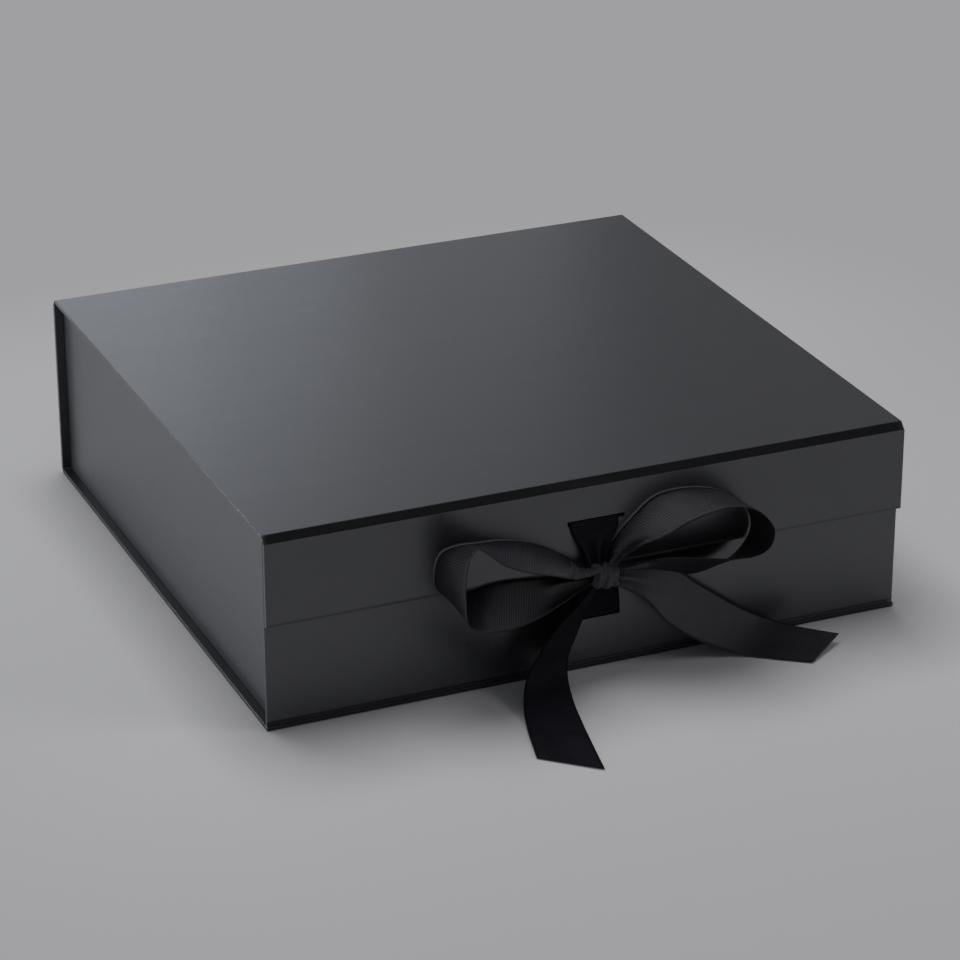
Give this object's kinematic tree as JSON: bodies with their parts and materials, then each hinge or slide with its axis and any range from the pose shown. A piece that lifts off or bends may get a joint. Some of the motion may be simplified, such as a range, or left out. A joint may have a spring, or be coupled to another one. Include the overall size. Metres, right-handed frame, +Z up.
{
  "type": "gift box",
  "caption": "Flat square rigid gift box in black wrapped board, with a hinged lid, a magnetic front flap, folding side walls and a grosgrain ribbon tied in a bow.",
  "frame": {"origin": "middle of the inside width and depth, on the underside of the base board", "axes": "+X to the right seen from the front, +Y from the flap towards the spine, +Z up"},
  "size_m": [0.324, 0.4085, 0.098],
  "materials": {
    "wrapped_board": "greyboard wrapped in black paper with a matt laminate",
    "liner_paper": "plain uncoated black lining paper",
    "folded_paper": "doubled black paper at a crease",
    "grosgrain_ribbon": "black grosgrain with cross ribs",
    "steel": "plated",
    "adhesive_tape": "double-sided tape with its release film on"
  },
  "bodies": {
    "base": {"base_board": "wrapped_board", "base_liner": "liner_paper", "front_wall_board": "wrapped_board", "front_wall_liner": "liner_paper", "spine_board": "wrapped_board", "spine_liner": "liner_paper", "front_wall_fold": "folded_paper", "spine_foot_fold": "folded_paper", "lid_hinge_fold": "folded_paper", "left_wall_fold": "folded_paper", "right_wall_fold": "folded_paper", "catch_plates": "steel", "ribbon_lower_strap": "grosgrain_ribbon", "ribbon_lower_patch": "adhesive_tape"},
    "lid": {"lid_board": "wrapped_board", "lid_liner": "liner_paper", "lid_hinge_leaf": "folded_paper", "flap_hinge_fold": "folded_paper"},
    "flap": {"flap_board": "wrapped_board", "flap_liner": "liner_paper", "flap_hinge_leaf": "folded_paper", "flap_magnets": "steel", "ribbon_upper_strap": "grosgrain_ribbon", "ribbon_upper_patch": "adhesive_tape", "bow_knot": "grosgrain_ribbon", "bow_loop_left": "grosgrain_ribbon", "bow_loop_right": "grosgrain_ribbon", "bow_tail_left": "grosgrain_ribbon", "bow_tail_right": "grosgrain_ribbon"},
    "left_wall": {"left_wall_board": "wrapped_board", "left_wall_liner": "liner_paper"},
    "right_wall": {"right_wall_board": "wrapped_board", "right_wall_liner": "liner_paper"},
    "front_left_tab": {"tab_front_left": "wrapped_board", "strip_front_left": "adhesive_tape"},
    "front_right_tab": {"tab_front_right": "wrapped_board", "strip_front_right": "adhesive_tape"},
    "back_left_tab": {"tab_back_left": "wrapped_board", "strip_back_left": "adhesive_tape"},
    "back_right_tab": {"tab_back_right": "wrapped_board", "strip_back_right": "adhesive_tape"}
  },
  "joints": [
    {"name": "lid_hinge", "type": "hinge", "parent": "base", "child": "lid", "pos_m": [0, 0.1559, 0.0969], "axis": [-1, 0, 0], "range_deg": [0, 195]},
    {"name": "flap_hinge", "type": "hinge", "parent": "lid", "child": "flap", "pos_m": [0, -0.1594, 0.0969], "axis": [-1, 0, 0], "range_deg": [0, 90]},
    {"name": "left_wall_fold", "type": "hinge", "parent": "base", "child": "left_wall", "pos_m": [-0.1555, 0, 0.0044], "axis": [0, 1, 0], "range_deg": [0, 90]},
    {"name": "right_wall_fold", "type": "hinge", "parent": "base", "child": "right_wall", "pos_m": [0.1555, 0, 0.0044], "axis": [0, -1, 0], "range_deg": [0, 90]},
    {"name": "front_left_tab_fold", "type": "hinge", "parent": "left_wall", "child": "front_left_tab", "pos_m": [-0.1544, -0.1537, 0.04885], "axis": [0, 0, 1], "range_deg": [0, 90]},
    {"name": "front_right_tab_fold", "type": "hinge", "parent": "right_wall", "child": "front_right_tab", "pos_m": [0.1544, -0.1537, 0.04885], "axis": [0, 0, -1], "range_deg": [0, 90]},
    {"name": "back_left_tab_fold", "type": "hinge", "parent": "left_wall", "child": "back_left_tab", "pos_m": [-0.1544, 0.1537, 0.04885], "axis": [0, 0, -1], "range_deg": [0, 90]},
    {"name": "back_right_tab_fold", "type": "hinge", "parent": "right_wall", "child": "back_right_tab", "pos_m": [0.1544, 0.1537, 0.04885], "axis": [0, 0, 1], "range_deg": [0, 90]}
  ],
  "couplings": [
    {"joint": "front_left_tab_fold", "follows": "left_wall_fold", "ratio": 1},
    {"joint": "front_right_tab_fold", "follows": "right_wall_fold", "ratio": 1},
    {"joint": "back_left_tab_fold", "follows": "left_wall_fold", "ratio": 1},
    {"joint": "back_right_tab_fold", "follows": "right_wall_fold", "ratio": 1}
  ]
}
